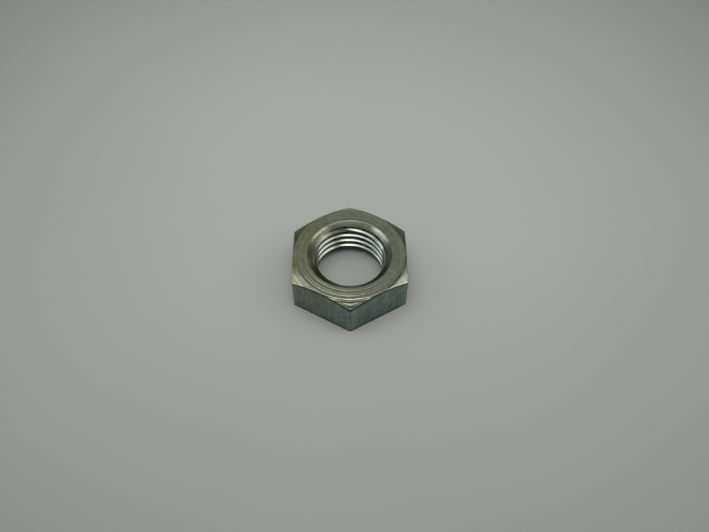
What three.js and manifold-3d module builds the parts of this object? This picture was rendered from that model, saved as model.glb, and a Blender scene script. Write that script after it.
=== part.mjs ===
// Thin hexagon nut (jam nut) with a metric fine thread, in zinc-plated steel.
//
// A nut is one piece of metal, so the group holds one mesh: a hexagonal block, chamfered on its top
// side only, with a through bore, a countersink at each end of the bore and a right-hand thread.
//
// Frame: millimetres, +Z up along the thread axis, origin at the centre of the bottom bearing face.
// Two opposite corners lie on the Y axis, so two opposite wrench flats face +X and -X.

import * as THREE from "three";
import { mergeVertices } from "three/addons/utils/BufferGeometryUtils.js";
import Module from "manifold-3d";

// Driving dimensions: lengths in millimetres, angles in degrees.
const WIDTH_ACROSS_FLATS = 21;
const NUT_HEIGHT = 7.9;
const CHAMFER_CIRCLE_DIAMETER = 20.6;
const CHAMFER_SLOPE = 32; // below the top face
const THREAD_MAJOR_DIAMETER = 14;
const THREAD_PITCH = 1.5;
const THREAD_FLANK_SLOPE = 30; // each flank, from the plane square to the axis: a 60 degree profile
const BORE_DIAMETER = 12.6; // the drilled hole, which the thread's crests keep
const COUNTERSINK_DIAMETER = 15.7; // at each face
const COUNTERSINK_SLOPE = 42; // below the face
const CREST_LEVEL = -0.08; // height of the crest nearest the bearing face, in the +X direction

// How finely round stretches are cut into flats, and how far cutting tools reach past what they cut.
const STEPS_PER_TURN = 72;
const TOOL_MARGIN = 1;
const FULL_TURN = 2 * Math.PI;

const wasm = await Module();
wasm.setup();

/** A closed three.js geometry as a solid that can be joined and cut. */
function toSolid(geometry) {
  const bare = geometry.clone();
  bare.deleteAttribute("normal");
  bare.deleteAttribute("uv");
  const merged = mergeVertices(bare);
  const corners = merged.index.array;
  const triangles = [];
  for (let i = 0; i < corners.length; i += 3) {
    const [a, b, c] = corners.slice(i, i + 3);
    // A lathe's triangles at its axis have two corners in one place: they hold no area.
    if (a !== b && b !== c && c !== a) triangles.push(a, b, c);
  }
  return new wasm.Manifold(
    new wasm.Mesh({
      numProp: 3,
      vertProperties: Float32Array.from(merged.attributes.position.array),
      triVerts: Uint32Array.from(triangles),
    }),
  );
}

/** A solid as a three.js geometry. */
function toGeometry(solid) {
  const { vertProperties, triVerts } = solid.getMesh();
  const geometry = new THREE.BufferGeometry();
  geometry.setAttribute("position", new THREE.BufferAttribute(vertProperties, 3));
  geometry.setIndex(new THREE.BufferAttribute(triVerts, 1));
  geometry.computeVertexNormals();
  return geometry;
}

/** A solid of revolution about Z from [radius, height] points that start and end on the axis. */
function turned(profile) {
  const points = profile.map(([radius, height]) => new THREE.Vector2(radius, height));
  const lathe = new THREE.LatheGeometry(points, STEPS_PER_TURN);
  // A lathe turns about +Y, and this stands it up along +Z.
  return toSolid(lathe.rotateX(Math.PI / 2));
}

/** Rise over a horizontal run at a slope in degrees. */
function rise(run, slope) {
  return run * Math.tan(THREE.MathUtils.degToRad(slope));
}

/** The hexagonal bar that the nut is cut from, standing on the bearing face. */
function hexagonalBar() {
  const cornerRadius = WIDTH_ACROSS_FLATS / Math.sqrt(3);
  const outline = new THREE.Shape();
  for (let corner = 0; corner < 6; corner += 1) {
    const angle = FULL_TURN * (corner / 6 + 1 / 4);
    const x = cornerRadius * Math.cos(angle);
    const y = cornerRadius * Math.sin(angle);
    if (corner === 0) outline.moveTo(x, y);
    else outline.lineTo(x, y);
  }
  outline.closePath();
  const depth = NUT_HEIGHT + TOOL_MARGIN;
  return toSolid(new THREE.ExtrudeGeometry(outline, { depth, bevelEnabled: false }));
}

/** The space that turning leaves: flat on top inside the chamfer circle, then a cone down the corners. */
function turnedEnvelope() {
  const circleRadius = CHAMFER_CIRCLE_DIAMETER / 2;
  const outerRadius = WIDTH_ACROSS_FLATS;
  const coneDrop = rise(outerRadius - circleRadius, CHAMFER_SLOPE);
  return turned([
    [0, -TOOL_MARGIN],
    [outerRadius, -TOOL_MARGIN],
    [outerRadius, NUT_HEIGHT - coneDrop],
    [circleRadius, NUT_HEIGHT],
    [0, NUT_HEIGHT],
  ]);
}

/** The drill that makes the through bore. */
function boreDrill() {
  const radius = BORE_DIAMETER / 2;
  return turned([
    [0, -TOOL_MARGIN],
    [radius, -TOOL_MARGIN],
    [radius, NUT_HEIGHT + TOOL_MARGIN],
    [0, NUT_HEIGHT + TOOL_MARGIN],
  ]);
}

/** The cone that countersinks the top of the bore. */
function topCountersink() {
  const rimRadius = COUNTERSINK_DIAMETER / 2;
  const tipDepth = rise(rimRadius, COUNTERSINK_SLOPE);
  const overcut = rise(TOOL_MARGIN, COUNTERSINK_SLOPE);
  return turned([
    [0, NUT_HEIGHT - tipDepth],
    [rimRadius + TOOL_MARGIN, NUT_HEIGHT + overcut],
    [0, NUT_HEIGHT + overcut],
  ]);
}

/** The cone that countersinks the bottom of the bore: the top one, upside down. */
function bottomCountersink() {
  const rimRadius = COUNTERSINK_DIAMETER / 2;
  const tipDepth = rise(rimRadius, COUNTERSINK_SLOPE);
  const overcut = rise(TOOL_MARGIN, COUNTERSINK_SLOPE);
  return turned([
    [0, -overcut],
    [rimRadius + TOOL_MARGIN, -overcut],
    [0, tipDepth],
  ]);
}

/** Across the groove: a truncated V, flat at the root and open towards the axis. */
function grooveSection() {
  const rootRadius = THREAD_MAJOR_DIAMETER / 2;
  const mouthRadius = BORE_DIAMETER / 2 - THREAD_PITCH / 6;
  const rootHalf = THREAD_PITCH / 16;
  const mouthHalf = rootHalf + rise(rootRadius - mouthRadius, THREAD_FLANK_SLOPE);
  const section = new THREE.Shape();
  section.moveTo(mouthRadius, -mouthHalf);
  section.lineTo(rootRadius, -rootHalf);
  section.lineTo(rootRadius, rootHalf);
  section.lineTo(mouthRadius, mouthHalf);
  section.closePath();
  return section;
}

/**
 * The thread groove: its section drawn out straight, one unit for each turn, and then wound into a
 * right-hand helix that runs out past both faces of the nut.
 */
function threadGroove() {
  const turns = Math.ceil(NUT_HEIGHT / THREAD_PITCH) + 2;
  // Half a pitch out of step with the crests.
  const startHeight = CREST_LEVEL - 1.5 * THREAD_PITCH;
  const geometry = new THREE.ExtrudeGeometry(grooveSection(), {
    depth: turns,
    steps: turns * STEPS_PER_TURN,
    bevelEnabled: false,
  });
  const position = geometry.attributes.position;
  for (let i = 0; i < position.count; i += 1) {
    const radius = position.getX(i);
    // Wound from the far end, which keeps the faces pointing out.
    const turn = turns - position.getZ(i);
    const angle = FULL_TURN * turn;
    const height = startHeight + THREAD_PITCH * turn + position.getY(i);
    position.setXYZ(i, radius * Math.cos(angle), radius * Math.sin(angle), height);
  }
  return toSolid(geometry);
}

/** Bright zinc plate with a faint yellow-green cast. */
function zincPlate() {
  return new THREE.MeshStandardMaterial({
    name: "zinc_plate",
    color: 0x9da391,
    roughness: 0.3,
    metalness: 1,
    flatShading: true,
  });
}

/** The whole nut. */
function hexNut() {
  const solid = hexagonalBar()
    .intersect(turnedEnvelope())
    .subtract(boreDrill())
    .subtract(topCountersink())
    .subtract(bottomCountersink())
    .subtract(threadGroove());
  const mesh = new THREE.Mesh(toGeometry(solid), zincPlate());
  mesh.name = "hex_nut";
  return mesh;
}

const nut = new THREE.Group();
nut.name = "thin_hex_nut";
nut.add(hexNut());

export default nut;
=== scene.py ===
"""Looks of a thin hex nut: one turned, threaded and zinc-plated piece on a pale studio floor.

Lengths are in metres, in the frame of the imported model: +Z runs up the thread axis, the bearing face
lies on z = 0, and two opposite corners of the hexagon lie on the Y axis. The nut's skin is one closed
surface. Its columns are angles round the axis. Its rows run up the thread as a helix, and then as
closed rings out over the top face, down the chamfer and the wrench flats, and back in underneath.
"""

import logging
import math
from dataclasses import dataclass, field
from enum import Enum, IntEnum

import bpy
import numpy as np
from mathutils import Matrix, Vector


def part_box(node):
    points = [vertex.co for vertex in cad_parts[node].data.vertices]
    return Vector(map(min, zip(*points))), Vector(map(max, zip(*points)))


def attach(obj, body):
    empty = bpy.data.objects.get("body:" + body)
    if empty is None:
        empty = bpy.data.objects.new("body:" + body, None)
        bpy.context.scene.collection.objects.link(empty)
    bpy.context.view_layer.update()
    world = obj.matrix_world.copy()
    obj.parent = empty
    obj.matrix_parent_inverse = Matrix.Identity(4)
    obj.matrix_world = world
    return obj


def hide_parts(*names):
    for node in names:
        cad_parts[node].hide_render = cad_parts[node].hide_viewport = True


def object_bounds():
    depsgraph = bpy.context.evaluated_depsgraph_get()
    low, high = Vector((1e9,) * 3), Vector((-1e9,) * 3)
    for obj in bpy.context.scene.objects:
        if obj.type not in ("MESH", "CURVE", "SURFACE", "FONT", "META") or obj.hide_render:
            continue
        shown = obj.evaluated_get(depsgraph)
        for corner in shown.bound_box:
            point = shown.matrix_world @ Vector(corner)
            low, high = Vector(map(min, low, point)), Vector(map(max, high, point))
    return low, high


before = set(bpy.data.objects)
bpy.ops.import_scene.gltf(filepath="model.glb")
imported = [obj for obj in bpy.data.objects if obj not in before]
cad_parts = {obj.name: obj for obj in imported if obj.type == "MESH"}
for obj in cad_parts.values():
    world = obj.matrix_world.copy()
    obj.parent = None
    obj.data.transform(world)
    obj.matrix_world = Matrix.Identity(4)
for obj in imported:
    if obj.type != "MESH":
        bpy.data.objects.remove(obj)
cad_low, cad_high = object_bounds()

Array = np.ndarray
Number = Array | float
Corner = tuple[Number, Number]
Colour = tuple[float, float, float]
Tree = bpy.types.NodeTree
Socket = bpy.types.NodeSocket
Sockets = bpy.types.NodeInputs | bpy.types.NodeOutputs
Opened = tuple[Tree, "Graph", Sockets, Sockets]

LOG = logging.getLogger("hex_nut")
MM = 0.001
MICRON = 1e-6
FULL_TURN = 2 * math.pi
SECTOR_HALF = math.pi / 6  # from the middle of a wrench flat to a corner
CAD_NODE = "hex_nut"
BODY = "root"

# Mesh attributes, from 0 to 1: abraded plating with painted glints; yellow-green passivation; dark
# dirt with painted shade.
WEAR_AND_GLINTS = "wear_and_glints"
CAST = "cast"
GRIME_AND_SHADE = "grime_and_shade"

# Rings across each part of the outer skin.
EDGE_RINGS = 4
TOP_RINGS = 46
CHAMFER_RINGS = 26
FLAT_RINGS = 14
BEARING_RINGS = 44

# The stretch of a noise pattern's values that holds most of it.
NOISE_LOW = 0.3
NOISE_HIGH = 0.7


class Region(IntEnum):
    """Surfaces that carry a finish of their own, numbered as the piece's material slots."""

    THREAD = 0
    TURNED = 1
    FLAT = 2
    BEARING = 3


class Marks(Enum):
    """Which way a tool or die left its marks."""

    RINGS = "rings"
    DRAWN = "drawn"
    HELIX = "helix"


# Shapes


def soft_max(first: Array, second: Array, softness: float) -> Array:
    """The larger of two surfaces, with the crease between them rounded.

    Half the sum, plus half the root of the squared difference and the squared softness.

    Args:
        first: One surface's values.
        second: The other's.
        softness: Width of the rounding, in the surfaces' own unit.

    Returns:
        The rounded maximum.
    """
    return (first + second + np.sqrt((first - second) ** 2 + softness**2)) / 2


def soft_min(first: Array, second: Array, softness: float) -> Array:
    """The smaller of two surfaces, with the crease between them rounded."""
    return -soft_max(-first, -second, softness)


def nearness(distance: Number, width: float) -> Number:
    """1 on an edge, fading over a width as a bell curve of the distance from it."""
    return np.exp(-((distance / width) ** 2))


def patches(angle: Array, seed: int) -> Array:
    """Uneven stretches round the nut, from 0 to 1: waves of random phase, summed and cut off.

    Args:
        angle: Angles round the axis.
        seed: Picks the phases.

    Returns:
        The share at each angle.
    """
    counts = np.array([1, 2, 3, 5, 9, 17, 31])
    phases = np.random.default_rng(seed).uniform(0, FULL_TURN, len(counts))
    waves = np.cos(angle[..., None] * counts + phases) / np.sqrt(counts)
    return np.clip(0.5 + 0.45 * waves.sum(axis=-1), 0, 1)


@dataclass(frozen=True)
class Hexagon:
    """The outline across the wrench flats, with its corners slightly rounded.

    Attributes:
        apothem: From the axis to a flat.
        corner_radius: Radius of each corner.
        flat_columns: Columns along one flat.
        corner_columns: Columns round half a corner.
        support: Angle between a corner's arc and the flat's next column.
    """

    apothem: float
    corner_radius: float
    flat_columns: int = 42
    corner_columns: int = 3
    support: float = math.radians(0.35)

    @property
    def arc_start(self) -> float:
        """Angle from the middle of a flat at which a corner's arc begins."""
        straight = (self.apothem - self.corner_radius) * math.tan(SECTOR_HALF)
        return math.atan2(straight, self.apothem)

    def from_flat(self, angle: Array) -> Array:
        """Angle from the middle of the nearest flat, without sign."""
        return np.abs((angle + SECTOR_HALF) % (2 * SECTOR_HALF) - SECTOR_HALF)

    def reach(self, angle: Array) -> Array:
        """Distance from the axis to the outline.

        Along a flat it is the apothem over the cosine of the angle from the flat's middle. Round a
        corner it is the far crossing of the ray with a circle centred on the corner's bisector.

        Args:
            angle: Angles round the axis.

        Returns:
            The distance at each angle.
        """
        off = self.from_flat(angle)
        along_flat = self.apothem / np.cos(off)
        centre = (self.apothem - self.corner_radius) / math.cos(SECTOR_HALF)
        aside = centre * np.sin(SECTOR_HALF - off)
        half_chord = np.sqrt(np.maximum(self.corner_radius**2 - aside**2, 0))
        round_corner = centre * np.cos(SECTOR_HALF - off) + half_chord
        return np.where(off > self.arc_start, round_corner, along_flat)

    def columns(self) -> Array:
        """Angles of the skin's columns over one turn, closest together round the corners."""
        inner = self.arc_start - self.support
        flat = np.linspace(-inner, inner, self.flat_columns)
        arc = np.linspace(self.arc_start, SECTOR_HALF, self.corner_columns, endpoint=False)
        sector = np.concatenate([[-SECTOR_HALF], -arc[::-1], flat, arc])
        middles = np.arange(6) * 2 * SECTOR_HALF
        return (middles[:, None] + sector[None, :]).ravel()

    def corner_wear(self, angle: Array) -> Array:
        """How abraded the plating is beside the corners, from 0 to 1."""
        aside = (SECTOR_HALF - self.from_flat(angle)) * self.apothem
        return nearness(aside, 1.6 * self.corner_radius)


@dataclass(frozen=True)
class ThreadForm:
    """The internal thread: a truncated V groove wound as a right-hand helix.

    Attributes:
        pitch: Rise of one turn.
        root_radius: From the axis to the groove's flat root.
        crest_radius: From the axis to the crests, which keep the drilled bore.
        crest_level: Height of one crest where the columns' angle is 0.
        flank_slope: Slope of each flank, from the plane square to the axis.
        root_softness: Width of the rounding where flank meets root.
        crest_softness: Width of the rounding where flank meets crest.
        painted_shade_start: Share of the depth at which the painted shade deep in the groove starts.
        painted_shade_ramp: Share of the depth over which it darkens.
    """

    pitch: float
    root_radius: float
    crest_radius: float
    crest_level: float
    flank_slope: float = math.radians(30)
    root_softness: float = 0.14 * MM
    crest_softness: float = 0.05 * MM
    painted_shade_start: float = 0.56
    painted_shade_ramp: float = 0.08

    @property
    def root_half(self) -> float:
        """Half the width of the flat root."""
        return self.pitch / 16

    @property
    def crest_start(self) -> float:
        """Height from the groove's middle to the crest's edge."""
        depth = self.root_radius - self.crest_radius
        return self.root_half + depth * math.tan(self.flank_slope)

    def radius(self, lift: Array) -> Array:
        """Distance from the axis to the thread.

        Beyond the root the wall comes in along the flank, one unit for each tangent of the slope
        that it climbs. The root limits it from outside and the crest from inside.

        Args:
            lift: Height above the middle of any groove.

        Returns:
            The distance at each height.
        """
        half = self.pitch / 2
        aside = np.abs((lift + half) % self.pitch - half)
        flank = self.root_radius - (aside - self.root_half) / math.tan(self.flank_slope)
        inside_root = soft_min(flank, self.root_radius, self.root_softness)
        return soft_max(inside_root, self.crest_radius, self.crest_softness)

    def grime_and_shade(self, radius: Array) -> Array:
        """Painted shade on the thread: dark in the shadowed roots and on the flats of the crests."""
        crest = nearness(radius - self.crest_radius, 0.9 * self.crest_softness)
        depth = (radius - self.crest_radius) / (self.root_radius - self.crest_radius)
        root = np.clip((depth - self.painted_shade_start) / self.painted_shade_ramp, 0, 1)
        return np.maximum(crest, root)

    def row_lifts(self) -> Array:
        """Heights of one pitch's rows above the groove's middle, closest at root and crest edges."""
        half = self.pitch / 2
        near_root = self.root_half + self.root_softness * np.array([-0.4, 0.1, 0.6])
        flank_low = near_root[-1] + self.root_softness
        flank_high = self.crest_start - 2 * self.crest_softness
        flank = np.linspace(flank_low, flank_high, 3)
        near_crest = self.crest_start + self.crest_softness * np.array([-0.7, 0.0, 0.7, 2.0])
        side = np.concatenate([near_root, flank, near_crest])
        return np.concatenate([[-half], -side[::-1], [0.0], side])


@dataclass(frozen=True)
class Countersink:
    """The cone at each end of the bore.

    Attributes:
        rim_radius: Radius at the face.
        slope: Slope below the face.
    """

    rim_radius: float
    slope: float = math.radians(42)

    def radius(self, depth: Array) -> Array:
        """Distance from the axis to the cone, at a depth below the face."""
        return self.rim_radius - depth / math.tan(self.slope)


@dataclass(frozen=True)
class TurningMarks:
    """The rings that a facing tool leaves: one shallow scallop for each step of its feed.

    Attributes:
        feed: Width of one ring.
        depth: Depth of the deepest ring.
        seed: Picks each ring's own share of that depth.
    """

    feed: float
    depth: float
    seed: int

    def depth_at(self, radius: Array) -> Array:
        """Depth below the true surface.

        Each ring is a parabola across its width, 0 at both of its edges and deepest halfway.

        Args:
            radius: Distances from the axis.

        Returns:
            The depth at each distance.
        """
        place = radius / self.feed
        ring = np.floor(place).astype(int)
        shares = np.random.default_rng(self.seed).uniform(0.2, 1.0, ring.max() + 1) ** 2
        across = 2 * (place - ring) - 1
        return self.depth * shares[ring] * (1 - across**2)


@dataclass
class Skin:
    """Closed rings of points round the nut, in order along its profile.

    Attributes:
        angles: The columns' angles.
        rings: Each ring's radius, height, abrasion with painted glints, and dirt with painted shade.
        regions: Finish of the band that leads to each ring.
    """

    angles: Array
    rings: list[Array] = field(default_factory=list)
    regions: list[Region] = field(default_factory=list)

    def ring(
        self, radius: Number, height: Number, region: Region, wear_and_glints: Number, grime_and_shade: Number = 0.0
    ) -> None:
        """Adds one ring. Single numbers count for every column."""
        ring = np.broadcast_arrays(radius, height, wear_and_glints, grime_and_shade, self.angles)[:-1]
        self.rings.append(np.stack(ring))
        self.regions.append(region)

    def edge(
        self,
        before: Corner,
        corner: Corner,
        after: Corner,
        region: Region,
        wear_and_glints: Number = 1.0,
        grime_and_shade: Number = 0.0,
    ) -> None:
        """Adds rings round an edge.

        The rings follow the quadratic curve that starts at the point before the edge, heads for the
        edge and ends at the point after it.

        Args:
            before: Radius and height where the rounding starts.
            corner: Radius and height of the sharp edge.
            after: Radius and height where the rounding ends.
            region: Finish round the edge.
            wear_and_glints: How abraded the edge is.
            grime_and_shade: How dark it is, from dirt and from painted shade.
        """
        for share in np.linspace(0, 1, EDGE_RINGS):
            first, middle, last = (1 - share) ** 2, 2 * share * (1 - share), share**2
            radius = first * before[0] + middle * corner[0] + last * after[0]
            height = first * before[1] + middle * corner[1] + last * after[1]
            self.ring(radius, height, region, wear_and_glints, grime_and_shade)


def new_object(name: str, data: bpy.types.ID) -> bpy.types.Object:
    """Puts a mesh, lamp or camera into the scene as an object."""
    made = bpy.data.objects.new(name, data)
    bpy.context.scene.collection.objects.link(made)
    return made


# Shader building


class Graph:
    """A shader node tree, written from inputs to output."""

    def __init__(self, tree: Tree) -> None:
        """Starts an empty graph in a tree.

        Args:
            tree: A material's, world's or group's node tree.
        """
        self.tree = tree
        tree.nodes.clear()

    def node(self, kind: str, **settings: object) -> bpy.types.Node:
        """Adds a node.

        Args:
            kind: The node's type, without "ShaderNode".
            settings: Properties to set on it.

        Returns:
            The node.
        """
        made = self.tree.nodes.new("ShaderNode" + kind)
        for name, value in settings.items():
            setattr(made, name, value)
        return made

    def feed(self, socket: Socket, value: object) -> None:
        """Links a socket to an input, or sets its own value when the value isn't a socket."""
        if isinstance(value, Socket):
            self.tree.links.new(value, socket)
        elif socket.type == "RGBA":
            socket.default_value = as_rgba(value)
        else:
            socket.default_value = value

    def math(self, operation: str, *values: object) -> Socket:
        """A Math node's result for up to three values."""
        made = self.node("Math", operation=operation)
        for socket, value in zip(made.inputs, values):
            self.feed(socket, value)
        return made.outputs[0]

    def vector(self, operation: str, *values: object) -> Socket:
        """A Vector Math node's vector, or its value where the operation gives one."""
        made = self.node("VectorMath", operation=operation)
        for socket, value in zip(made.inputs, values):
            self.feed(socket, value)
        wants_value = operation in {"LENGTH", "DOT_PRODUCT", "DISTANCE"}
        return made.outputs["Value" if wants_value else "Vector"]

    def scaled(self, vector: object, factor: object) -> Socket:
        """A vector or colour times a number."""
        made = self.node("VectorMath", operation="SCALE")
        self.feed(made.inputs[0], vector)
        self.feed(made.inputs["Scale"], factor)
        return made.outputs[0]

    def spread(
        self, value: object, low: float, high: float, start: float = 0.0, end: float = 1.0
    ) -> Socket:
        """Maps a stretch of values onto another, held at its ends."""
        made = self.node("MapRange", clamp=True)
        for socket, number in zip(made.inputs, (value, low, high, start, end)):
            self.feed(socket, number)
        return made.outputs["Result"]

    def blend(self, share: object, first: object, second: object) -> Socket:
        """A mix of two colours: the first at share 0, the second at 1."""
        made = self.node("Mix", data_type="RGBA", clamp_factor=True)
        self.feed(made.inputs[0], share)
        self.feed(made.inputs[6], first)
        self.feed(made.inputs[7], second)
        return made.outputs[2]

    def noise(self, place: object, scale: object, detail: float = 2.0) -> Socket:
        """A noise pattern's value, about 0.5 with a spread of about 0.2."""
        made = self.node("TexNoise")
        self.feed(made.inputs["Vector"], place)
        self.feed(made.inputs["Scale"], scale)
        made.inputs["Detail"].default_value = detail
        return made.outputs["Fac"]

    def use(self, group: Tree, **values: object) -> bpy.types.NodeOutputs:
        """Places a node group.

        Args:
            group: The group's tree.
            values: Its inputs by name, with _ for each space.

        Returns:
            The group node's outputs.
        """
        made = self.node("Group", node_tree=group)
        for name, value in values.items():
            self.feed(made.inputs[name.replace("_", " ")], value)
        return made.outputs


def as_rgba(colour: Colour) -> tuple[float, float, float, float]:
    """A colour with full alpha."""
    return (*colour, 1.0)


MARK_OUTPUTS = {"Height": "Float", "Tone": "Float"}
COATING_OUTPUTS = {"Colour": "Color", "Roughness": "Float"}


class GroupKit:
    """The shader node groups that the finishes share, each built once."""

    def __init__(self) -> None:
        """Builds every group."""
        self.ring_marks = self._ring_marks()
        self.drawn_marks = self._drawn_marks()
        self.helix_marks = self._helix_marks()
        self.plating_cast = self._plating_cast()
        self.wear_glint_coat = self._wear_glint_coat()
        self.pits = self._pits()
        self.darkening = self._darkening()

    @staticmethod
    def _open(name: str, inputs: dict[str, object], outputs: dict[str, str]) -> Opened:
        """Starts a node group.

        Args:
            name: The group's name.
            inputs: Defaults of its inputs besides Position: a number or a colour each.
            outputs: Each output's kind, Float or Color.

        Returns:
            The tree, its graph, the input sockets and the output sockets.
        """
        tree = bpy.data.node_groups.new(name, "ShaderNodeTree")
        tree.interface.new_socket("Position", in_out="INPUT", socket_type="NodeSocketVector")
        for label, default in inputs.items():
            kind = "Color" if isinstance(default, tuple) else "Float"
            made = tree.interface.new_socket(label, in_out="INPUT", socket_type="NodeSocket" + kind)
            made.default_value = as_rgba(default) if kind == "Color" else default
        for label, kind in outputs.items():
            tree.interface.new_socket(label, in_out="OUTPUT", socket_type="NodeSocket" + kind)
        graph = Graph(tree)
        entry = tree.nodes.new("NodeGroupInput")
        leave = tree.nodes.new("NodeGroupOutput")
        return tree, graph, entry.outputs, leave.inputs

    @staticmethod
    def _put_marks(
        graph: Graph, out: Sockets, place: Socket, fine_detail: float, broad: tuple[float, float]
    ) -> None:
        """Ends a group of tool marks: fine noise for their height and broad noise for their tone.

        Args:
            graph: The group's graph.
            out: Its output sockets.
            place: Where the noise is read, one unit for each mark.
            fine_detail: Detail of the fine noise.
            broad: Scale and detail of the broad noise.
        """
        height = graph.noise(place, 1.0, fine_detail)
        tone = graph.noise(place, *broad)
        graph.feed(out["Height"], graph.spread(height, NOISE_LOW, NOISE_HIGH))
        graph.feed(out["Tone"], graph.spread(tone, 0.32, 0.68))

    @staticmethod
    def _across(graph: Graph, given: Sockets, flat: Socket, across: Socket) -> Socket:
        """A place on a cylinder round Z, for marks that run round it.

        Args:
            graph: The group's graph.
            given: Its input sockets, with the marks' width and how often they break.
            flat: The vector out from the axis.
            across: Distance across the marks.

        Returns:
            The direction out, stretched little, with the distance across counted in widths.
        """
        around = graph.scaled(graph.vector("NORMALIZE", flat), given["Breaks"])
        level = graph.node("CombineXYZ")
        graph.feed(level.inputs["Z"], graph.math("DIVIDE", across, given["Width"]))
        return graph.vector("ADD", around, level.outputs[0])

    def _ring_marks(self) -> Tree:
        """Rings round Z that are broken along their length, as a facing tool leaves them."""
        inputs = {"Width": 0.15 * MM, "Breaks": 3.0}
        tree, graph, given, out = self._open("ring_marks", inputs, MARK_OUTPUTS)
        flat = graph.vector("MULTIPLY", given["Position"], (1.0, 1.0, 0.0))
        place = self._across(graph, given, flat, graph.vector("LENGTH", flat))
        self._put_marks(graph, out, place, 1.0, (0.31, 2.0))
        return tree

    def _helix_marks(self) -> Tree:
        """Marks along the thread's turns: noise stretched round the axis and tight in height."""
        inputs = {"Width": 0.1 * MM, "Breaks": 5.0}
        tree, graph, given, out = self._open("helix_marks", inputs, MARK_OUTPUTS)
        split = graph.node("SeparateXYZ")
        graph.feed(split.inputs[0], given["Position"])
        flat = graph.vector("MULTIPLY", given["Position"], (1.0, 1.0, 0.0))
        place = self._across(graph, given, flat, split.outputs["Z"])
        self._put_marks(graph, out, place, 2.0, (0.2, 2.0))
        return tree

    def _drawn_marks(self) -> Tree:
        """Streaks along Z that the drawing die leaves on the bar: noise stretched along Z."""
        inputs = {"Width": 0.12 * MM, "Stretch": 40.0}
        tree, graph, given, out = self._open("drawn_marks", inputs, MARK_OUTPUTS)
        split = graph.node("SeparateXYZ")
        graph.feed(split.inputs[0], given["Position"])
        place = graph.node("CombineXYZ")
        long_width = graph.math("MULTIPLY", given["Width"], given["Stretch"])
        for axis, width in (("X", given["Width"]), ("Y", given["Width"]), ("Z", long_width)):
            graph.feed(place.inputs[axis], graph.math("DIVIDE", split.outputs[axis], width))
        self._put_marks(graph, out, place.outputs[0], 2.0, (0.3, 4.0))
        return tree

    def _plating_cast(self) -> Tree:
        """The plating's colour: clear zinc that drifts towards its passivated cast in clouds."""
        inputs = {
            "Plate": (0.6, 0.62, 0.58),
            "Cast Colour": (0.6, 0.6, 0.45),
            "Amount": 0.5,
            "Cloud Scale": 420.0,
            "Mottle": 0.2,
        }
        tree, graph, given, out = self._open("plating_cast", inputs, {"Colour": "Color"})
        clouds = graph.noise(given["Position"], given["Cloud Scale"], 3.0)
        drift = graph.spread(clouds, 0.34, 0.66, -0.35, 0.35)
        share = graph.math("ADD", given["Amount"], drift)
        colour = graph.blend(share, given["Plate"], given["Cast Colour"])
        fine = graph.spread(graph.noise(given["Position"], 1100.0, 4.0), 0.38, 0.62)
        shade = graph.math("SUBTRACT", 1.0, graph.math("MULTIPLY", fine, given["Mottle"]))
        graph.feed(out["Colour"], graph.scaled(colour, shade))
        return tree

    def _wear_glint_coat(self) -> Tree:
        """Abraded plating and painted glints, bright where the mask says, broken up by fine noise."""
        inputs = {
            "Wear": 0.0,
            "Colour": (0.6, 0.6, 0.55),
            "Worn Colour": (0.75, 0.75, 0.72),
            "Roughness": 0.3,
            "Worn Roughness": 0.2,
            "Amount": 0.8,
        }
        tree, graph, given, out = self._open("wear_glint_coat", inputs, COATING_OUTPUTS)
        broken = graph.spread(graph.noise(given["Position"], 1700.0, 3.0), 0.36, 0.62, 0.25, 1.0)
        mask = graph.math("MULTIPLY", graph.math("MULTIPLY", given["Wear"], broken), given["Amount"])
        graph.feed(out["Colour"], graph.blend(mask, given["Colour"], given["Worn Colour"]))
        ease = graph.node("Mix", data_type="FLOAT")
        graph.feed(ease.inputs[0], mask)
        graph.feed(ease.inputs[2], given["Roughness"])
        graph.feed(ease.inputs[3], given["Worn Roughness"])
        graph.feed(out["Roughness"], ease.outputs[0])
        return tree

    def _pits(self) -> Tree:
        """Scattered specks where the plating is pitted: the middles of some Voronoi cells."""
        inputs = {"Scale": 2600.0, "Share": 0.25}
        tree, graph, given, out = self._open("pits", inputs, {"Mask": "Float"})
        cells = graph.node("TexVoronoi")
        graph.feed(cells.inputs["Vector"], given["Position"])
        graph.feed(cells.inputs["Scale"], given["Scale"])
        pick = graph.node("SeparateColor")
        graph.feed(pick.inputs[0], cells.outputs["Color"])
        chosen = graph.math("LESS_THAN", pick.outputs[0], given["Share"])
        size = graph.spread(pick.outputs[1], 0.0, 1.0, 0.1, 0.3)
        rough = graph.noise(given["Position"], 6000.0, 3.0)
        ragged = graph.spread(rough, NOISE_LOW, NOISE_HIGH, -0.12, 0.12)
        away = graph.math("ADD", cells.outputs["Distance"], ragged)
        dot = graph.spread(graph.math("SUBTRACT", away, size), -0.1, 0.0, 1.0, 0.0)
        graph.feed(out["Mask"], graph.math("MULTIPLY", chosen, dot))
        return tree

    def _darkening(self) -> Tree:
        """Painted shade and dark dirt over a finish, where its mask says, thinned in places by noise.
        """
        inputs = {
            "Mask": 0.0,
            "Colour": (0.6, 0.6, 0.55),
            "Dark Colour": (0.008, 0.01, 0.008),
            "Roughness": 0.3,
        }
        tree, graph, given, out = self._open("darkening", inputs, COATING_OUTPUTS)
        thinned = graph.spread(graph.noise(given["Position"], 900.0, 3.0), NOISE_LOW, 0.6, 0.8)
        mask = graph.math("MULTIPLY", given["Mask"], thinned)
        graph.feed(out["Colour"], graph.blend(mask, given["Colour"], given["Dark Colour"]))
        dulled = graph.math("MULTIPLY", mask, 0.25)
        graph.feed(out["Roughness"], graph.math("ADD", given["Roughness"], dulled))
        return tree


EVEN_SHARE = 0.5  # the cast share that leaves the mesh's own cast as it is
PIT_SHADE = 0.6  # brightness left in a pit
PIT_DEPTH = 1.5  # depth of a pit, in depths of the tool marks
POLISH = 0.75  # roughness of abraded plating and of painted glints, as a share of the plate's


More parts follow.
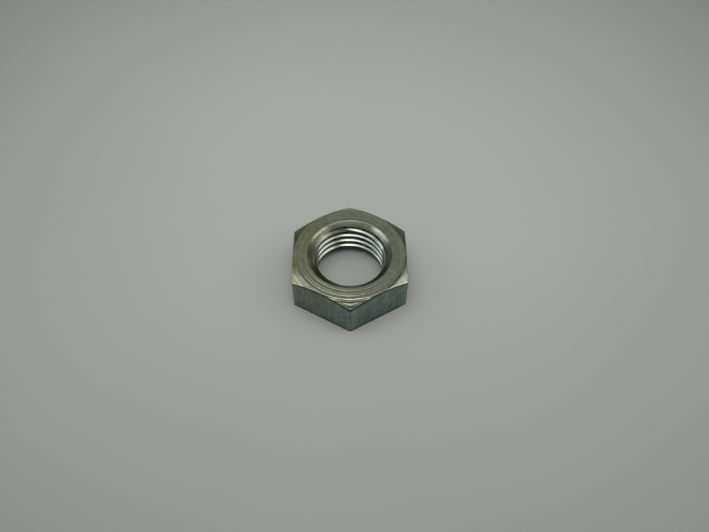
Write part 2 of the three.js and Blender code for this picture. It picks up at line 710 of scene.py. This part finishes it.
@dataclass(frozen=True)
class ZincFinish:
    """Zinc plate on one kind of machined surface.

    Attributes:
        name: The material's name.
        marks: Which way the tool marks run.
        mark_width: Width of the finest marks.
        mark_depth: Their depth.
        plate: Reflection colour of clear plating.
        cast: Reflection colour where the passivation is strongest.
        cast_share: How far the plating leans to the cast, from 0 to 1.
        worn_and_glint: Reflection colour on abraded edges and of painted glints.
        roughness: Blur of the reflections.
        roughness_swing: How much the blur varies with the marks.
        mark_tone: How much the marks darken the plate.
        mottle: How much fine clouds darken the plate.
        pit_share: Share of cells that hold a pit.
    """

    name: str
    marks: Marks
    mark_width: float
    mark_depth: float
    plate: Colour
    cast: Colour
    cast_share: float
    worn_and_glint: Colour
    roughness: float
    roughness_swing: float
    mark_tone: float
    mottle: float
    pit_share: float

    def build(self, kit: GroupKit) -> bpy.types.Material:
        """Makes the material.

        Args:
            kit: The shared node groups.

        Returns:
            The material.
        """
        material = bpy.data.materials.new(self.name)
        material.use_nodes = True
        graph = Graph(material.node_tree)
        place = graph.node("TexCoord").outputs["Object"]
        wear_and_glints, cast, grime_and_shade = (
            graph.node("Attribute", attribute_name=label).outputs["Fac"]
            for label in (WEAR_AND_GLINTS, CAST, GRIME_AND_SHADE)
        )
        height, tone = self._tool_marks(graph, kit, place)
        lean = graph.math("ADD", cast, self.cast_share - EVEN_SHARE)
        colour = graph.use(
            kit.plating_cast,
            Position=place,
            Plate=self.plate,
            Cast_Colour=self.cast,
            Amount=lean,
            Mottle=self.mottle,
        )["Colour"]
        colour = graph.scaled(colour, graph.spread(tone, 0.0, 1.0, 1.0 - self.mark_tone))
        pits = graph.use(kit.pits, Position=place, Share=self.pit_share)["Mask"]
        colour = graph.scaled(colour, graph.spread(pits, 0.0, 1.0, 1.0, PIT_SHADE))
        dull, bright = self.roughness + self.roughness_swing, self.roughness - self.roughness_swing
        blur = graph.spread(tone, 0.0, 1.0, dull, bright)
        # Abraded plating and painted glints, from the mesh attribute that carries them.
        worn_and_glint = graph.use(
            kit.wear_glint_coat,
            Position=place,
            Wear=wear_and_glints,
            Colour=colour,
            Worn_Colour=self.worn_and_glint,
            Roughness=blur,
            Worn_Roughness=self.roughness * POLISH,
        )
        # Dark dirt and painted shade, from the mesh attribute that carries them.
        coated = graph.use(
            kit.darkening,
            Position=place,
            Mask=grime_and_shade,
            Colour=worn_and_glint["Colour"],
            Roughness=worn_and_glint["Roughness"],
        )
        relief = graph.math("SUBTRACT", height, graph.math("MULTIPLY", pits, PIT_DEPTH))
        bump = graph.node("Bump")
        graph.feed(bump.inputs["Strength"], 1.0)
        graph.feed(bump.inputs["Distance"], self.mark_depth)
        graph.feed(bump.inputs["Height"], relief)
        shader = graph.node("BsdfPrincipled")
        graph.feed(shader.inputs["Metallic"], 1.0)
        graph.feed(shader.inputs["Base Color"], coated["Colour"])
        graph.feed(shader.inputs["Roughness"], coated["Roughness"])
        graph.feed(shader.inputs["Normal"], bump.outputs[0])
        output = graph.node("OutputMaterial")
        graph.feed(output.inputs["Surface"], shader.outputs[0])
        return material

    def _tool_marks(self, graph: Graph, kit: GroupKit, place: Socket) -> tuple[Socket, Socket]:
        """The height and tone of this surface's tool marks."""
        group = {
            Marks.RINGS: kit.ring_marks,
            Marks.DRAWN: kit.drawn_marks,
            Marks.HELIX: kit.helix_marks,
        }[self.marks]
        found = graph.use(group, Position=place, Width=self.mark_width)
        return found["Height"], found["Tone"]


# The nut


# Darkness of a dark ring on the top countersink, and its width.
CONE_RING_DARKNESS = 0.45
CONE_RING_WIDTH = 0.025  # as a share of the ring's radius
LOW_BORE_SHADE_END = 1.4  # where the painted shade low in the bore ends, in heights of its fade
FADE_RATE = 8  # marks and streaks on the chamfer fade in over one eighth of its width
LOW_STREAK = 0.75  # share of the way down the chamfer from which its streaked stretch is dark all over
CAST_MIDDLE = 0.35
CAST_ON_TOP = 0.15
CAST_BY_SIDE = 0.35


@dataclass
class NutBody:
    """The nut's one piece of metal.

    Attributes:
        height: From bearing face to top face.
        hexagon: The outline across the flats.
        thread: The internal thread.
        countersink: The cone at each end of the bore.
        chamfer_radius: Radius of the circle where top face and chamfer meet.
        chamfer_slope: Slope of the chamfer below the top face.
        edge_break: How far each edge is rounded back along the surfaces that meet there.
        top_marks: Turning on the top face and the chamfer.
        bearing_marks: Facing on the underside.
        cone_ring: Radius of a dark ring on the top countersink.
        low_bore_shade: Height over which the painted shade low in the bore fades out.
        chatter: How much deeper the chamfer's turning is where the tool chattered.
        chatter_heading: Angle round the axis of that place.
        chatter_spread: Half of its width, as an angle.
        streak_count: Dark streaks across the chamfer in that place.
        seed: Picks the uneven stretches where edges darken and where glints are painted.
        finishes: The finish of each region.
    """

    height: float
    hexagon: Hexagon
    thread: ThreadForm
    countersink: Countersink
    chamfer_radius: float
    chamfer_slope: float
    edge_break: float
    top_marks: TurningMarks
    bearing_marks: TurningMarks
    cone_ring: float
    low_bore_shade: float
    chatter: float
    chatter_heading: float
    chatter_spread: float
    streak_count: float
    seed: int
    finishes: dict[Region, ZincFinish]

    def build(self, kit: GroupKit) -> bpy.types.Object:
        """Makes the piece, dresses it and ties it to the frame.

        Args:
            kit: The shared node groups.

        Returns:
            The piece.
        """
        points, triangles, regions, looks = self._join(self.hexagon.columns())
        piece = self._as_object("nut_body", points, triangles, regions, looks)
        for region in Region:
            piece.data.materials.append(self.finishes[region].build(kit))
        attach(piece, BODY)
        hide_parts(CAD_NODE)
        return piece

    def _bore_wall(self, angles: Array) -> tuple[Array, Array, Array]:
        """The thread and both countersinks, on rows that climb as the helix does.

        A row's height is its start plus a pitch for each turn of its angle, held between the two
        countersink rims. Its radius is the largest of thread and cones at that height, so the
        thread runs out into the cones.

        Args:
            angles: The columns' angles.

        Returns:
            The points, as radius, height, abrasion with painted glints, and dirt with painted shade,
            for each row and column; for each point the index of the one that stands for it, where rows
            are held at a rim; and whether it lies on the thread rather than on a cone.
        """
        low, high = self.edge_break, self.height - self.edge_break
        lifts = self.thread.row_lifts()
        pitch = self.thread.pitch
        turn = angles / FULL_TURN
        first = math.floor((low - pitch * turn.max()) / pitch) - 1
        last = math.ceil((high - pitch * turn.min()) / pitch) + 1
        grooves = (np.arange(first, last + 1) + 0.5) * pitch + self.thread.crest_level
        starts = (grooves[:, None] + lifts[None, :]).ravel()
        free = starts[:, None] + pitch * turn[None, :]
        lift = starts[:, None] - grooves[0]
        height = np.clip(free, low, high)
        wall = self.thread.radius(lift + (height - free))
        top_cone = self.countersink.radius(self.height - height)
        low_cone = self.countersink.radius(height)
        cone = np.maximum(top_cone, low_cone)
        radius = soft_max(wall, cone, self.thread.crest_softness)
        crest = nearness(wall - self.thread.crest_radius, 2 * self.thread.crest_softness)
        # Painted glints: bright uneven stretches round the countersink cones.
        brightened = 0.25 * patches(angles, self.seed + 2) * (wall < cone)
        rim = nearness(np.minimum(height - low, high - height), 2 * self.edge_break)
        wear_and_glints = np.maximum(np.maximum(0.5 * crest, brightened), 0.3 * rim)
        numbers = np.arange(free.size).reshape(free.shape)
        columns = np.arange(len(angles))
        above, below = free >= high, free <= low
        top_row = np.argmax(above, axis=0)
        low_row = len(starts) - 1 - np.argmax(below[::-1], axis=0)
        numbers = np.where(above, numbers[top_row, columns][None, :], numbers)
        numbers = np.where(below, numbers[low_row, columns][None, :], numbers)
        grime_and_shade = self._bore_painted_shade(wall, cone, radius, height)
        return np.stack([radius, height, wear_and_glints, grime_and_shade]), numbers, wall > cone

    def _bore_painted_shade(self, wall: Array, cone: Array, radius: Array, height: Array) -> Array:
        """Painted shade in the bore: in the thread, in its crease with a cone and low down.

        The top countersink also gets a dark ring.

        Args:
            wall: Radius of the thread at each point.
            cone: Radius of the cones there.
            radius: Radius of the surface there.
            height: The points' heights.

        Returns:
            How dark each point is painted.
        """
        off_ring = np.abs(radius - self.cone_ring) / self.cone_ring
        on_top_cone = CONE_RING_DARKNESS * nearness(off_ring, CONE_RING_WIDTH)
        on_top_cone = on_top_cone * (height > self.height / 2)
        grime_and_shade = np.where(wall > cone, self.thread.grime_and_shade(wall), on_top_cone)
        # Painted shade low in the bore, where it meets the floor, and along the crease where the
        # thread meets a cone.
        low_down = np.clip(LOW_BORE_SHADE_END - height / self.low_bore_shade, 0, 1)
        crease = nearness(wall - cone, self.thread.crest_softness)
        return np.maximum(np.maximum(grime_and_shade, low_down), crease)

    def _outer_skin(self, angles: Array) -> Skin:
        """The rings from the top rim out over the nut and back in to the bottom rim."""
        skin = Skin(angles)
        edge = self.edge_break
        reach = self.hexagon.reach(angles)
        rim = self.countersink.rim_radius
        corner_wear = self.hexagon.corner_wear(angles)
        skin.edge((rim - edge, self.height - edge), (rim, self.height), (rim + edge, self.height),
                  Region.TURNED, wear_and_glints=0.2, grime_and_shade=0.35)
        self._top_face(skin, rim + 2 * edge, self.chamfer_radius - 2 * edge)
        ring = self.chamfer_radius
        drop = math.tan(self.chamfer_slope)
        rough = self._rough_part(angles)
        seam = 0.8 * patches(angles, self.seed) * (1 - rough)
        skin.edge((ring - edge, self.height), (ring, self.height),
                  (ring + edge, self.height - edge * drop), Region.TURNED, 0.4 + 0.6 * rough, seam)
        self._chamfer(skin, reach, corner_wear)
        arc = self.height - (reach - ring) * drop
        # Darker in uneven stretches along the chamfer's lower edge and the flats' top edge.
        darkening = 0.75 + 0.25 * patches(angles, self.seed + 1)
        skin.edge((reach - edge, arc + edge * drop), (reach, arc), (reach, arc - edge),
                  Region.TURNED, wear_and_glints=0.0, grime_and_shade=darkening)
        self._wrench_flats(skin, reach, arc, darkening)
        # Painted contact shadow: the bottom edge of the flats, where the nut stands on the floor, is
        # painted dark.
        skin.edge((reach, edge), (reach, 0.0), (reach - edge, 0.0), Region.FLAT, wear_and_glints=0.0, grime_and_shade=0.9)
        self._bearing_face(skin, reach - 2 * edge, rim + 2 * edge, corner_wear)
        skin.edge((rim + edge, 0.0), (rim, 0.0), (rim - edge, edge), Region.BEARING)
        return skin

    def _rough_part(self, angles: Array) -> Array:
        """How much each column lies in the chamfer's roughly cut stretch."""
        around = (angles - self.chatter_heading + math.pi) % FULL_TURN - math.pi
        return nearness(around, self.chatter_spread)

    def _top_face(self, skin: Skin, inner: float, outer: float) -> None:
        """Adds the top face's rings, with the turning marks sunk into it."""
        chance = np.random.default_rng(self.seed)
        for number, radius in enumerate(np.linspace(inner, outer, TOP_RINGS)):
            near_edge = nearness(min(radius - inner, outer - radius), 2 * self.edge_break)
            depth = self.top_marks.depth_at(np.array([radius])) * (1 - near_edge)
            # Painted glints, partly abraded plating: bright stretches scattered along the turning
            # rings.
            brightened = chance.uniform(0, 1) ** 2 * patches(skin.angles, number)
            sooty = 0.5 * chance.uniform(0, 1) ** 4 * patches(skin.angles, number + self.seed)
            wear_and_glints = np.maximum(0.3 * near_edge, brightened)
            skin.ring(radius, self.height - depth, Region.TURNED, wear_and_glints, sooty)

    def _chamfer(self, skin: Skin, reach: Array, corner_wear: Array) -> None:
        """Adds the chamfer's rings: shares of the way from its circle to the hexagon's outline."""
        inner = self.chamfer_radius + 2 * self.edge_break
        outer = reach - 2 * self.edge_break
        rough = self._rough_part(skin.angles)
        smooth = 1 - rough
        chatter = 1 + self.chatter * rough
        seam = patches(skin.angles, self.seed) * smooth
        flecks = rough * (0.7 + 0.3 * patches(skin.angles, self.seed + 3))
        for share in np.linspace(0, 1, CHAMFER_RINGS):
            radius = inner + share * np.maximum(outer - inner, self.edge_break)
            fall = (radius - self.chamfer_radius) * math.tan(self.chamfer_slope)
            window = min(FADE_RATE * share, FADE_RATE * (1 - share), 1)
            depth = self.top_marks.depth_at(radius) * window * chatter
            near_edge = nearness(np.minimum(radius - inner, outer - radius), 3 * self.edge_break)
            near_ring = nearness(radius - inner, 4 * self.edge_break)
            brightened = nearness(outer - radius, 2 * self.edge_break) * smooth
            wear_and_glints = 0.6 * np.maximum(near_edge, corner_wear * share) * smooth
            wear_and_glints = np.maximum(np.maximum(wear_and_glints, brightened), rough * near_ring)
            streak = 0.6 - 0.4 * math.cos(self.streak_count * FULL_TURN * share)
            streak = max(streak, min(1.0, FADE_RATE * (share - LOW_STREAK)))
            grime_and_shade = np.maximum(seam * near_ring, streak * flecks) * (1 - brightened)
            skin.ring(radius, self.height - fall - depth, Region.TURNED, wear_and_glints, grime_and_shade)

    def _wrench_flats(self, skin: Skin, reach: Array, arc: Array, darkening: Array) -> None:
        """Adds the wrench flats' rings, darker along their top edges and near the corners.

        Low down they carry painted shade, and a painted contact shadow along the bottom edge.

        Args:
            skin: The skin so far.
            reach: Distance from the axis to the outline.
            arc: Height of the chamfer's lower edge.
            darkening: How much darker that edge is.
        """
        corner_wear = self.hexagon.corner_wear(skin.angles)
        edge = self.edge_break
        top, low = arc - 2 * edge, 2 * edge
        for share in np.linspace(0, 1, FLAT_RINGS):
            height = top + share * (low - top)
            near_top = darkening * nearness(arc - height, 5 * edge)
            # Painted contact shadow near the bottom; painted shade that grows downwards, where the
            # flats reflect the floor in the nut's shadow; darker close to the corners.
            painted_contact_shadow = nearness(height, 6 * edge)
            painted_low_shade_and_corner_dark = np.maximum(0.2 * share, 0.6 * corner_wear**6)
            grime_and_shade = np.maximum(np.maximum(near_top, painted_contact_shadow), painted_low_shade_and_corner_dark)
            skin.ring(reach, height, Region.FLAT, corner_wear, grime_and_shade)

    def _bearing_face(self, skin: Skin, outer: Array, inner: float, corner_wear: Array) -> None:
        """Adds the underside's rings: shares of the way from the outline in to the countersink."""
        for share in np.linspace(0, 1, BEARING_RINGS):
            radius = outer + share * (inner - outer)
            near_edge = nearness(np.minimum(outer - radius, radius - inner), 2 * self.edge_break)
            depth = self.bearing_marks.depth_at(radius) * (1 - near_edge)
            wear_and_glints = np.maximum(near_edge, corner_wear * (1 - share))
            skin.ring(radius, depth, Region.BEARING, wear_and_glints)

    def _join(self, angles: Array) -> tuple[Array, Array, Array, Array]:
        """Joins the bore wall and the outer skin into one closed surface.

        The outer skin starts on the bore wall's top rim and ends on its bottom rim. At the seam of
        the columns, a helical row meets the row one pitch further up. Corners that fall together
        where rows are held at a rim leave triangles without area, which are dropped.

        Args:
            angles: The columns' angles.

        Returns:
            Points, triangles, each triangle's region, and each point's abrasion with painted glints
            and dirt with painted shade.
        """
        bore, bore_rows, threaded = self._bore_wall(angles)
        skin = self._outer_skin(angles)
        per_pitch = len(self.thread.row_lifts())
        count = len(bore_rows)
        climbed = np.minimum(np.arange(count) + per_pitch, count - 1)
        seam = bore_rows[climbed, 0]
        bore_next = np.concatenate([bore_rows[:, 1:], seam[:, None]], axis=1)
        outer = np.stack(skin.rings[1:-1], axis=1)
        numbers = bore_rows.size + np.arange(outer[0].size).reshape(outer[0].shape)
        rings = np.concatenate([bore_rows[-1:], numbers, bore_rows[:1]])
        ring_next = np.roll(rings, -1, axis=1)
        wall = triangles_between(bore_rows, bore_next)
        shell = triangles_between(rings, ring_next)
        shell_regions = np.repeat(skin.regions[1:], 2 * len(angles))
        triangles = np.concatenate([wall, shell])
        cells = np.where(threaded[:-1], Region.THREAD, Region.TURNED)
        regions = np.concatenate([np.repeat(cells.ravel(), 2), shell_regions])
        radius, height, *looks = np.concatenate([bore, outer], axis=1).reshape(len(bore), -1)
        angle = np.tile(angles, len(radius) // len(angles))
        points = np.stack([radius * np.cos(angle), radius * np.sin(angle), height], axis=1)
        a, b, c = triangles.T
        kept = (a != b) & (b != c) & (c != a)
        used, packed = np.unique(triangles[kept], return_inverse=True)
        return points[used], packed.reshape(-1, 3), regions[kept], np.stack(looks)[:, used]

    def _cast_of(self, points: Array) -> Array:
        """How much passivation each point shows: more on the turned top, and more on the -X side."""
        radius = np.hypot(points[:, 0], points[:, 1])
        outside_thread = np.clip((radius - self.thread.root_radius) / (0.4 * MM), 0, 1)
        upward = np.clip((points[:, 2] - 0.5 * self.height) / (0.3 * self.height), 0, 1)
        side = -points[:, 0] / radius
        return CAST_MIDDLE + CAST_ON_TOP * outside_thread * upward + CAST_BY_SIDE * side

    def _as_object(
        self, name: str, points: Array, triangles: Array, regions: Array, looks: Array
    ) -> bpy.types.Object:
        """Puts the surface into a Blender mesh, smoothly shaded, with its attributes."""
        mesh = bpy.data.meshes.new(name)
        mesh.vertices.add(len(points))
        mesh.vertices.foreach_set("co", points.astype(np.float32).ravel())
        mesh.loops.add(triangles.size)
        mesh.loops.foreach_set("vertex_index", triangles.astype(np.int32).ravel())
        mesh.polygons.add(len(triangles))
        mesh.polygons.foreach_set("loop_start", np.arange(len(triangles), dtype=np.int32) * 3)
        mesh.polygons.foreach_set("material_index", regions.astype(np.int32))
        mesh.polygons.foreach_set("use_smooth", np.ones(len(triangles), dtype=bool))
        mesh.update(calc_edges=True)
        named = {WEAR_AND_GLINTS: looks[0], GRIME_AND_SHADE: looks[1], CAST: self._cast_of(points)}
        for label, values in named.items():
            attribute = mesh.attributes.new(label, "FLOAT", "POINT")
            attribute.data.foreach_set("value", values.astype(np.float32))
        return new_object(name, mesh)


def triangles_between(rows: Array, after: Array) -> Array:
    """Two triangles for each cell between neighbouring rows and columns.

    Args:
        rows: Point numbers by row and column.
        after: The number that stands to the right of each, one column further round.

    Returns:
        The triangles, wound so that a row's direction crossed with the column's points out.
    """
    a, b = rows[:-1], after[:-1]
    c, d = after[1:], rows[1:]
    first = np.stack([a, d, c], axis=-1)
    second = np.stack([a, c, b], axis=-1)
    return np.stack([first, second], axis=2).reshape(-1, 3)


def make_nut() -> NutBody:
    """The nut at its packed size, with the sizes that the frame doesn't give."""
    low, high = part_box(CAD_NODE)
    turned = ZincFinish(
        name="turned_zinc", marks=Marks.RINGS, mark_width=0.11 * MM, mark_depth=2.2 * MICRON,
        plate=(0.49, 0.54, 0.48), cast=(0.51, 0.52, 0.3), cast_share=0.55, worn_and_glint=(0.74, 0.77, 0.66),
        roughness=0.24, roughness_swing=0.07, mark_tone=0.35, mottle=0.2, pit_share=0.1,
    )
    flats = ZincFinish(
        name="drawn_zinc", marks=Marks.DRAWN, mark_width=0.2 * MM, mark_depth=0.8 * MICRON,
        plate=(0.25, 0.34, 0.33), cast=(0.28, 0.32, 0.235), cast_share=0.5, worn_and_glint=(0.36, 0.44, 0.43),
        roughness=0.34, roughness_swing=0.06, mark_tone=0.18, mottle=0.3, pit_share=0.12,
    )
    thread = ZincFinish(
        name="tapped_zinc", marks=Marks.HELIX, mark_width=0.12 * MM, mark_depth=0.6 * MICRON,
        plate=(0.64, 0.71, 0.67), cast=(0.62, 0.66, 0.5), cast_share=0.4, worn_and_glint=(0.66, 0.7, 0.66),
        roughness=0.16, roughness_swing=0.05, mark_tone=0.2, mottle=0.1, pit_share=0.05,
    )
    bearing = ZincFinish(
        name="faced_zinc", marks=Marks.RINGS, mark_width=0.16 * MM, mark_depth=2.0 * MICRON,
        plate=(0.43, 0.47, 0.42), cast=(0.44, 0.45, 0.32), cast_share=0.5, worn_and_glint=(0.55, 0.58, 0.5),
        roughness=0.3, roughness_swing=0.08, mark_tone=0.3, mottle=0.2, pit_share=0.15,
    )
    return NutBody(
        height=high.z,
        hexagon=Hexagon(apothem=(high.x - low.x) / 2, corner_radius=0.22 * MM),
        thread=ThreadForm(
            pitch=1.5 * MM, root_radius=7.0 * MM, crest_radius=6.3 * MM, crest_level=-0.08 * MM
        ),
        countersink=Countersink(rim_radius=7.85 * MM),
        chamfer_radius=10.3 * MM,
        chamfer_slope=math.radians(32),
        edge_break=0.05 * MM,
        top_marks=TurningMarks(feed=0.38 * MM, depth=26 * MICRON, seed=5),
        bearing_marks=TurningMarks(feed=0.5 * MM, depth=10 * MICRON, seed=11),
        cone_ring=7.2 * MM,
        low_bore_shade=1.1 * MM,
        chatter=2.5,
        chatter_heading=math.radians(-90),
        chatter_spread=math.radians(28),
        streak_count=2.2,
        seed=3,
        finishes={
            Region.THREAD: thread,
            Region.TURNED: turned,
            Region.FLAT: flats,
            Region.BEARING: bearing,
        },
    )


# The studio


SENSOR_WIDTH = 36.0  # in millimetres, as the camera counts it
FAR_CLIP = 10.0
FLOOR_GAP = 0.01 * MM  # between the floor and the bearing face
FLOOR_DARKEST = 0.5  # share of the floor's colour that is left far out, beyond the painted pool of light


@dataclass(frozen=True)
class Softbox:
    """A rectangular lamp that faces the nut.

    Attributes:
        name: The lamp's name.
        heading: Direction from the nut to the lamp's middle.
        distance: From the nut to the lamp.
        width: Size across.
        depth: Size along.
        radiance: Brightness of its face.
    """

    name: str
    heading: tuple[float, float, float]
    distance: float
    width: float
    depth: float
    radiance: float

    def build(self) -> None:
        """Hangs the lamp. Its power is its radiance over its area, times pi."""
        lamp = bpy.data.lights.new(self.name, "AREA")
        lamp.shape = "RECTANGLE"
        lamp.size, lamp.size_y = self.width, self.depth
        lamp.energy = self.radiance * math.pi * self.width * self.depth
        holder = new_object(self.name, lamp)
        away = Vector(self.heading).normalized()
        holder.location = away * self.distance
        holder.rotation_euler = away.to_track_quat("Z", "Y").to_euler()
        holder.visible_camera = False


@dataclass(frozen=True)
class ViewPoint:
    """Where the camera stands, in widths across flats of the nut.

    Attributes:
        width: The width across flats, in metres.
        azimuth: Turn round the nut, in degrees.
        elevation: Above the horizon, in degrees.
        roll: Tilt of the horizon, in degrees.
        distance: From the camera's plane to the nut's origin.
        aside: Shift of the nut's origin to the right of the view's axis.
        above: Shift of the nut's origin above the view's axis.
        lens: Focal length over the sensor's width.
    """

    width: float
    azimuth: float = -1.04
    elevation: float = 53.18
    roll: float = -0.525
    distance: float = 6.685
    aside: float = -0.0423
    above: float = -0.1125
    lens: float = 1.0251

    def build(self) -> None:
        """Sets up the camera and makes it the scene's own."""
        turn, climb = math.radians(self.azimuth), math.radians(self.elevation)
        tilt = math.radians(self.roll)
        level = math.cos(climb)
        back = Vector((math.sin(turn) * level, -math.cos(turn) * level, math.sin(climb)))
        right = Vector((math.cos(turn), math.sin(turn), 0.0))
        up = back.cross(right)
        place = (back * self.distance - right * self.aside - up * self.above) * self.width
        tilted_right = right * math.cos(tilt) - up * math.sin(tilt)
        tilted_up = right * math.sin(tilt) + up * math.cos(tilt)
        axes = Matrix((tilted_right, tilted_up, back)).transposed()
        data = bpy.data.cameras.new("camera")
        data.sensor_width = SENSOR_WIDTH
        data.lens = self.lens * SENSOR_WIDTH
        data.clip_start = 0.1 * self.width
        data.clip_end = FAR_CLIP
        camera = new_object("camera", data)
        camera.matrix_world = Matrix.Translation(place) @ axes.to_4x4()
        bpy.context.scene.camera = camera


@dataclass(frozen=True)
class Studio:
    """The floor, the surrounding light and the lamps.

    Attributes:
        floor_size: Side of the square floor.
        floor_colour: Colour of the floor.
        painted_pool_middle: Middle of a pool of light painted on the floor, where it is lightest.
        painted_pool_radius: How far from there the painted light has faded to the darkest.
        horizon: Colour and strength of the light from low all round.
        ceiling: Colour and strength of the light from above.
        lamps: The softboxes.
    """

    floor_size: float
    floor_colour: Colour
    painted_pool_middle: tuple[float, float, float]
    painted_pool_radius: float
    horizon: Colour
    ceiling: Colour
    lamps: tuple[Softbox, ...]

    def build(self) -> None:
        """Lays the floor and sets up the light."""
        self._floor()
        self._surround()
        for lamp in self.lamps:
            lamp.build()
        bpy.context.scene.view_settings.view_transform = "Standard"

    def _floor(self) -> None:
        """Lays a pale matt card just under the nut, with a pool of light painted round it."""
        half = self.floor_size / 2
        mesh = bpy.data.meshes.new("floor")
        corners = [(-half, -half, 0.0), (half, -half, 0.0), (half, half, 0.0), (-half, half, 0.0)]
        mesh.from_pydata(corners, [], [(0, 1, 2, 3)])
        floor = new_object("floor", mesh)
        floor.location.z = -FLOOR_GAP
        material = bpy.data.materials.new("pale_card")
        material.use_nodes = True
        graph = Graph(material.node_tree)
        place = graph.node("TexCoord").outputs["Object"]
        clouds = graph.spread(graph.noise(place, 14.0, 3.0), NOISE_LOW, NOISE_HIGH, -0.04, 0.04)
        # Painted light: the floor's colour darkens with distance from the painted pool's middle.
        away = graph.vector("DISTANCE", place, self.painted_pool_middle)
        fall = graph.spread(away, 0.0, self.painted_pool_radius)
        dimming = graph.math("ADD", graph.math("POWER", fall, 2.0), clouds)
        darker = tuple(FLOOR_DARKEST * channel for channel in self.floor_colour)
        colour = graph.blend(dimming, self.floor_colour, darker)
        shader = graph.node("BsdfPrincipled")
        graph.feed(shader.inputs["Base Color"], colour)
        graph.feed(shader.inputs["Roughness"], 0.7)
        output = graph.node("OutputMaterial")
        graph.feed(output.inputs["Surface"], shader.outputs[0])
        mesh.materials.append(material)

    def _surround(self) -> None:
        """Fills the world with a dim room: dark at the horizon and lighter towards the ceiling."""
        world = bpy.data.worlds.new("surround")
        world.use_nodes = True
        graph = Graph(world.node_tree)
        split = graph.node("SeparateXYZ")
        graph.feed(split.inputs[0], graph.node("TexCoord").outputs["Generated"])
        climb = graph.spread(split.outputs["Z"], 0.02, 0.7)
        light = graph.node("Background")
        graph.feed(light.inputs["Color"], graph.blend(climb, self.horizon, self.ceiling))
        output = graph.node("OutputWorld")
        graph.feed(output.inputs["Surface"], light.outputs[0])
        bpy.context.scene.world = world


def make_studio() -> Studio:
    """A light tent: one lamp overhead, one on each side, and dim light from all round."""
    return Studio(
        floor_size=1.6,
        floor_colour=(0.595, 0.614, 0.578),
        painted_pool_middle=(0.002, 0.045, 0.0),
        painted_pool_radius=0.13,
        horizon=(0.05, 0.055, 0.05),
        ceiling=(0.27, 0.28, 0.26),
        lamps=(
            Softbox("overhead", (-0.055, -0.08, 1.0), 0.24, 0.228, 0.175, 1.8),
            Softbox("left", (-0.8, -0.03, 0.6), 0.3, 0.2, 0.125, 0.82),
            Softbox("right", (0.73, -0.03, 0.68), 0.3, 0.2, 0.18, 0.9),
        ),
    )


def main() -> None:
    """Builds the camera, the studio and the nut, and reports each piece."""
    logging.basicConfig(level=logging.INFO, format="%(name)s: %(message)s")
    ViewPoint(width=cad_high.x - cad_low.x).build()
    make_studio().build()
    piece = make_nut().build(GroupKit())
    LOG.info("%s: %d triangles", piece.name, len(piece.data.polygons))


if __name__ == "__main__":
    main()
